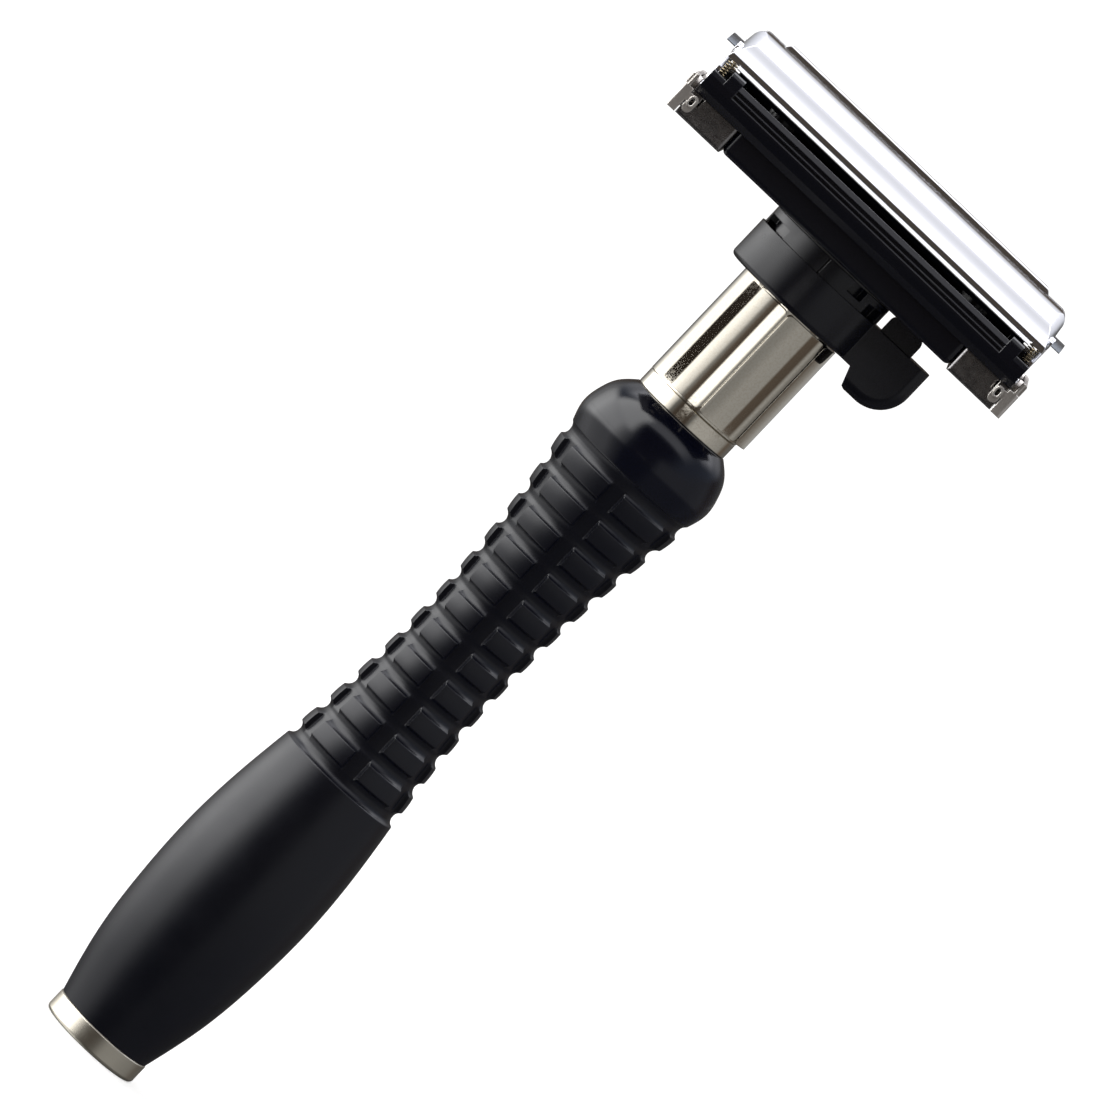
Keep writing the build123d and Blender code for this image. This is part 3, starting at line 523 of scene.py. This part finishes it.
def grip_columns():
    """Each column's flute number, distance from the flute's middle and share of the land crossed."""
    near = np.concatenate([np.linspace(0.0, FLUTE_EDGE[0], 4)[:-1], np.linspace(*FLUTE_EDGE, 11)])
    land = np.linspace(0.0, 1.0, 8)[1:]
    half = [(distance, 0.0) for distance in near] + [(near[-1], share) for share in land]
    columns = []
    for flute in range(FLUTE_COUNT):
        columns += [(flute, -distance, share) for distance, share in half[:0:-1]]
        columns += [(flute, distance, share) for distance, share in half[:-1]]
    return np.array(columns)


def ring_points(radius, angle, height):
    """Points at radii and angles about the Z axis."""
    return np.stack([radius * np.cos(angle), radius * np.sin(angle), height], axis=-1)


def grip_skin():
    """Grid of points over the grip: rows up its outline, columns round it."""
    barrel_rows = np.linspace(BARREL[0][1], FIRST_VALLEY - BARREL_EDGE, 56)
    edge_rows = np.linspace(FIRST_VALLEY - BARREL_EDGE, FIRST_VALLEY, 18)[1:-1]
    rim_rows = np.linspace(LAST_VALLEY, LAST_VALLEY + BULB_EDGE, 18)
    bulb_rows = np.linspace(LAST_VALLEY + BULB_EDGE, BULB[-1][1], 40)[1:]
    z = np.concatenate([barrel_rows, edge_rows, ring_rows(), rim_rows, bulb_rows])[:, None]
    flute, distance, share = grip_columns().T
    rough_radius = np.where((z > FIRST_VALLEY) & (z < LAST_VALLEY), waist(z) + 0.4, 7.0)
    near_angle = distance / rough_radius
    half_turn = math.pi / FLUTE_COUNT
    side = np.sign(distance)
    angle = near_angle + side * share * (half_turn - np.abs(near_angle))
    around = np.abs(angle) * rough_radius
    radius = grip_radius(np.broadcast_to(z, around.shape), around)
    turn = angle + flute * 2 * half_turn - math.pi / 2 + FLUTE_TURN
    points = ring_points(radius, turn, np.broadcast_to(z, radius.shape))
    bores = [ring_points(r, turn[0], np.full(turn.shape[1], height)) for height, r in BORES]
    return np.concatenate([points, np.array(bores)])


def closed_grid_mesh(name, points):
    """Closed tube-like mesh from a grid whose rows and columns both wrap round."""
    rows, columns = points.shape[:2]
    index = np.arange(rows * columns).reshape(rows, columns)
    right = np.roll(index, -1, axis=1)
    faces = np.stack([index, right, np.roll(right, -1, axis=0), np.roll(index, -1, axis=0)], axis=-1)
    mesh = bpy.data.meshes.new(name)
    mesh.from_pydata((points.reshape(-1, 3) * MM).tolist(), [], faces.reshape(-1, 4).tolist())
    mesh.validate()
    mesh.shade_smooth()
    return add_object(name, mesh)


def sharpen(piece, degrees):
    """Marks the edges sharper than an angle, so that flat ends stay flat in the shading."""
    edit = bmesh.new()
    edit.from_mesh(piece.data)
    limit = math.radians(degrees)
    for edge in edit.edges:
        edge.smooth = not (len(edge.link_faces) == 2 and edge.calc_face_angle(0.0) > limit)
    edit.to_mesh(piece.data)
    edit.free()


def build_grip():
    """Grip's skin, which stands in for the plainer CAD grip."""
    piece = closed_grid_mesh("grip_skin", grip_skin())
    sharpen(piece, 50.0)
    piece.data.materials.append(FINISHES["black_grip"])
    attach(piece, "handle_and_head")
    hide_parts("grip")


# The return spring inside the neck

def build_return_spring():
    """Wire wound round the stem between the seat and the shoulder."""
    low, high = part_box("return_spring")
    height = high.z - low.z
    along = np.linspace(0.0, 1.0, int(SPRING_TURNS * STEPS_PER_TURN))[:, None]
    around = np.linspace(0.0, 2 * math.pi, WIRE_SIDES, endpoint=False)[None, :]
    radius = (high.x - low.x) / 2 - WIRE_R + WIRE_R * np.cos(around)
    centre_z = low.z + WIRE_R + along * (height - 2 * WIRE_R)
    angle = along * SPRING_TURNS * 2 * math.pi
    points = ring_points(radius, angle, centre_z + WIRE_R * np.sin(around))
    index = np.arange(points.shape[0] * WIRE_SIDES).reshape(-1, WIRE_SIDES)
    right = np.roll(index, -1, axis=1)
    faces = np.stack([index[:-1], right[:-1], right[1:], index[1:]], axis=-1).reshape(-1, 4).tolist()
    faces += [index[0][::-1].tolist(), index[-1].tolist()]
    mesh = bpy.data.meshes.new("return_spring_wire")
    mesh.from_pydata(points.reshape(-1, 3).tolist(), [], faces)
    mesh.shade_smooth()
    mesh.materials.append(FINISHES["steel"])
    piece = add_object("return_spring_wire", mesh)
    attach(piece, "handle_and_head")
    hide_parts("return_spring")
    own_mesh(piece)


# Studio

# Brightness of the walls at eye level by azimuth in degrees, from the front towards +X.
LEVEL_CARDS = (
    (-180, 0.08), (-165, 0.10), (-152, 0.30), (-138, 0.9), (-126, 2.5), (-110, 4.6), (-62, 4.6),
    (-50, 2.2), (-44, 1.4), (-36, 0.70), (-30, 0.14), (-20, 0.05), (10, 0.05), (16, 0.12), (23, 0.38),
    (30, 0.42), (66, 0.40), (88, 0.33), (112, 0.28), (126, 0.10), (150, 0.13), (180, 0.08),
)
# The same overhead, from the front horizon over the top to the back horizon.
OVERHEAD_CARDS = (
    (0, 0.04), (40, 0.04), (47, 0.20), (52, 1.5), (67, 1.5), (72, 1.2), (76, 1.02), (80, 0.90),
    (87, 0.83), (92, 0.90), (97, 1.05), (101, 4.0), (124, 4.0), (134, 1.4), (140, 1.03), (148, 0.78),
    (158, 0.58), (180, 0.42),
)
# At eye level again, for the small cards close round the neck, which only its pads mirror.
NECK_CARDS = (
    (-180, 0.08), (-165, 0.12), (-152, 0.30), (-138, 0.9), (-128, 1.6), (-80, 1.6), (-78, 0.02),
    (-56, 0.02), (-54, 1.6), (-46, 1.4), (-39, 1.05), (-33, 0.80), (-28, 0.25), (-22, 0.09), (-15, 0.06),
    (-13, 1.7), (2, 1.7), (5, 0.30), (8, 0.20), (11, 0.35), (17, 0.23), (27, 0.25), (39, 0.32),
    (65, 0.30), (69, 0.08), (85, 0.07), (91, 0.34), (100, 0.20), (108, 0.08), (145, 0.35),
)
NECK_CARD_REACH = 120 * MM
NECK_CARD_Z = (77.9 * MM, 93.5 * MM)

# BRIGHTEST is what full white stands for in the cards' colours; SOFT_LIGHT is the even light that
# falls on everything. Cards dimmer than BROWN_BELOW are tinted brown, and those overhead faintly blue.
BRIGHTEST = 5.0
SOFT_LIGHT = 1.15
FLOOR_SHADE = 0.05
BROWN_BELOW = 0.11
BROWN = (1.2, 0.97, 0.80)
FAINT_BLUE = (0.98, 0.985, 1.04)
OVERHEAD_SIDES = (0.32 / BRIGHTEST, 0.36 / BRIGHTEST, 0.44 / BRIGHTEST, 1.0)

# Upward part of the directions where the walls give way to the overhead and to the floor's shade,
# and the window of a softbox on the left, with its azimuths in degrees.
OVERHEAD_RISE = (0.30, 0.48)
FLOOR_FALL = (-0.24, -0.07)
SOFTBOX_AZIMUTH = (-104, -42)
SOFTBOX_RISE = (0.36, 0.86)


def azimuth_ramp(tree, direction, cards):
    """Colour of a ring of cards, looked up by the direction's azimuth."""
    parts = put(tree, "SeparateXYZ", {"Vector": direction}).outputs
    azimuth = math_node(tree, "ARCTAN2", parts["X"], math_node(tree, "MULTIPLY", parts["Y"], -1.0))
    ramp = put(tree, "ValToRGB", {"Fac": remap(tree, azimuth, -math.pi, math.pi, 0.0, 1.0)})
    fill_ramp(ramp.color_ramp, cards, -180.0, 180.0)
    return azimuth, ramp.outputs["Color"]


def fill_ramp(ramp, cards, low, high, tint=(1.0, 1.0, 1.0)):
    """Sets a colour ramp's stops from (angle, brightness) pairs; the darkest stops turn brown."""
    while len(ramp.elements) > 1:
        ramp.elements.remove(ramp.elements[-1])
    for number, (angle, brightness) in enumerate(cards):
        place = (angle - low) / (high - low)
        stop = ramp.elements[0] if number == 0 else ramp.elements.new(place)
        stop.position = place
        stop.color = grey(brightness / BRIGHTEST, BROWN if brightness < BROWN_BELOW else tint)


def window(tree, value, low, high, softness):
    """One between two limits and nought outside them, with soft sides."""
    rising = remap(tree, value, low - softness, low + softness, 0.0, 1.0, smooth=True)
    falling = remap(tree, value, high - softness, high + softness, 1.0, 0.0, smooth=True)
    return math_node(tree, "MULTIPLY", rising, falling)


def surround():
    """Studio walls as a world: white cards and black flags that only reflections see."""
    world = bpy.data.worlds.new("studio")
    bpy.context.scene.world = world
    world.use_nodes = True
    tree = world.node_tree
    tree.nodes.clear()
    direction = put(tree, "TexCoord", {}).outputs["Generated"]
    parts = put(tree, "SeparateXYZ", {"Vector": direction}).outputs
    front = math_node(tree, "MULTIPLY", parts["Y"], -1.0)
    azimuth, level_cards = azimuth_ramp(tree, direction, LEVEL_CARDS)
    arch = math_node(tree, "ARCTAN2", math_node(tree, "MAXIMUM", parts["Z"], 0.001), front)
    over_cards = put(tree, "ValToRGB", {"Fac": remap(tree, arch, 0.0, math.pi, 0.0, 1.0)})
    fill_ramp(over_cards.color_ramp, OVERHEAD_CARDS, 0.0, 180.0, FAINT_BLUE)
    side = remap(tree, math_node(tree, "ABSOLUTE", parts["X"]), 0.35, 0.8, 0.0, 1.0, smooth=True)
    overhead = mix_colour(tree, side, over_cards.outputs["Color"], OVERHEAD_SIDES)
    height = remap(tree, parts["Z"], *OVERHEAD_RISE, 0.0, 1.0, smooth=True)
    cards = mix_colour(tree, height, level_cards, overhead)
    depth = remap(tree, parts["Z"], *FLOOR_FALL, 0.25, 1.0, smooth=True)
    cards = mix_colour(tree, depth, grey(FLOOR_SHADE / BRIGHTEST), cards)
    left = window(tree, azimuth, *(math.radians(angle) for angle in SOFTBOX_AZIMUTH), 0.14)
    lifted = window(tree, parts["Z"], *SOFTBOX_RISE, 0.06)
    softbox = math_node(tree, "MULTIPLY", left, lifted)
    cards = mix_colour(tree, softbox, cards, grey(1.0))
    path = put(tree, "LightPath", {}).outputs
    reflections = put(tree, "Background", {"Color": cards, "Strength": BRIGHTEST}).outputs[0]
    soft_light = put(tree, "Background", {"Color": grey(1.0), "Strength": SOFT_LIGHT}).outputs[0]
    shader = put(tree, "MixShader", {0: path["Is Glossy Ray"], 1: soft_light, 2: reflections}).outputs[0]
    output = put(tree, "OutputWorld", {})
    tree.links.new(shader, output.inputs["Surface"])


def neck_cards():
    """Ring of small cards close round the neck, at the height that its pads mirror to the camera."""
    low, high = NECK_CARD_Z
    mesh = bpy.data.meshes.new("neck_cards")
    edit = bmesh.new()
    size = {"radius1": NECK_CARD_REACH, "radius2": NECK_CARD_REACH, "depth": high - low}
    bmesh.ops.create_cone(edit, segments=96, **size)
    edit.to_mesh(mesh)
    edit.free()
    piece = add_object("neck_cards", mesh)
    piece.location.z = (low + high) / 2
    material = blank_material("neck_cards")
    tree = material.node_tree
    colour = azimuth_ramp(tree, put(tree, "TexCoord", {}).outputs["Object"], NECK_CARDS)[1]
    glow = put(tree, "Emission", {"Color": colour, "Strength": BRIGHTEST}).outputs[0]
    back = put(tree, "NewGeometry", {}).outputs["Incoming"]
    rise = put(tree, "SeparateXYZ", {"Vector": back}).outputs["Z"]
    facing = window(tree, rise, -0.01, 0.11, 0.02)
    clear = put(tree, "BsdfTransparent", {}).outputs[0]
    shader = put(tree, "MixShader", {0: facing, 1: clear, 2: glow}).outputs[0]
    output = put(tree, "OutputMaterial", {})
    tree.links.new(shader, output.inputs["Surface"])
    mesh.materials.append(material)
    piece.visible_camera = False
    piece.visible_diffuse = False
    piece.visible_shadow = False


def floor():
    """Plain pale floor under the foot, bright enough to read as paper."""
    mesh = bpy.data.meshes.new("floor")
    edit = bmesh.new()
    bmesh.ops.create_circle(edit, cap_ends=True, segments=96, radius=0.6)
    edit.to_mesh(mesh)
    edit.free()
    piece = add_object("floor", mesh)
    piece.location.z = cad_low.z
    material = bpy.data.materials.new("pale_paper")
    material.use_nodes = True
    tree = material.node_tree
    surface = tree.nodes["Principled BSDF"]
    coords = put(tree, "TexCoord", {}).outputs["Object"]
    fibres = noise(tree, coords, 60.0, 4.0, 0.6)
    colour = mix_colour(tree, fibres, grey(0.93), grey(0.96))
    tree.links.new(colour, surface.inputs["Base Color"])
    surface.inputs["Roughness"].default_value = 0.9
    surface.inputs["Specular IOR Level"].default_value = 0.1
    surface.inputs["Emission Color"].default_value = grey(1.0)
    surface.inputs["Emission Strength"].default_value = 0.25
    mesh.materials.append(material)
    piece.visible_glossy = False


def camera():
    """Long lens from the front, rolled so that the handle runs down to the left."""
    aim = Vector((AIM_X, 0.0, cad_low.z + AIM_HEIGHT * (cad_high.z - cad_low.z)))
    back = Vector((0.0, -math.cos(CAMERA_ELEVATION), math.sin(CAMERA_ELEVATION)))
    level_up = Vector((0.0, math.sin(CAMERA_ELEVATION), math.cos(CAMERA_ELEVATION)))
    level_right = Vector((1.0, 0.0, 0.0))
    right = math.cos(CAMERA_ROLL) * level_up + math.sin(CAMERA_ROLL) * level_right
    up = math.sin(CAMERA_ROLL) * level_up - math.cos(CAMERA_ROLL) * level_right
    data = bpy.data.cameras.new("camera")
    data.sensor_width = SENSOR
    data.lens = SENSOR * CAMERA_DISTANCE / FRAME_SIDE
    data.clip_start, data.clip_end = CAMERA_CLIP
    piece = add_object("camera", data)
    turn = Matrix((right, up, back)).transposed()
    piece.matrix_world = Matrix.Translation(aim + back * CAMERA_DISTANCE) @ turn.to_4x4()
    bpy.context.scene.camera = piece


coat_cad_nodes()
build_grip()
build_return_spring()
surround()
neck_cards()
floor()
camera()
bpy.context.scene.view_settings.view_transform = "Standard"
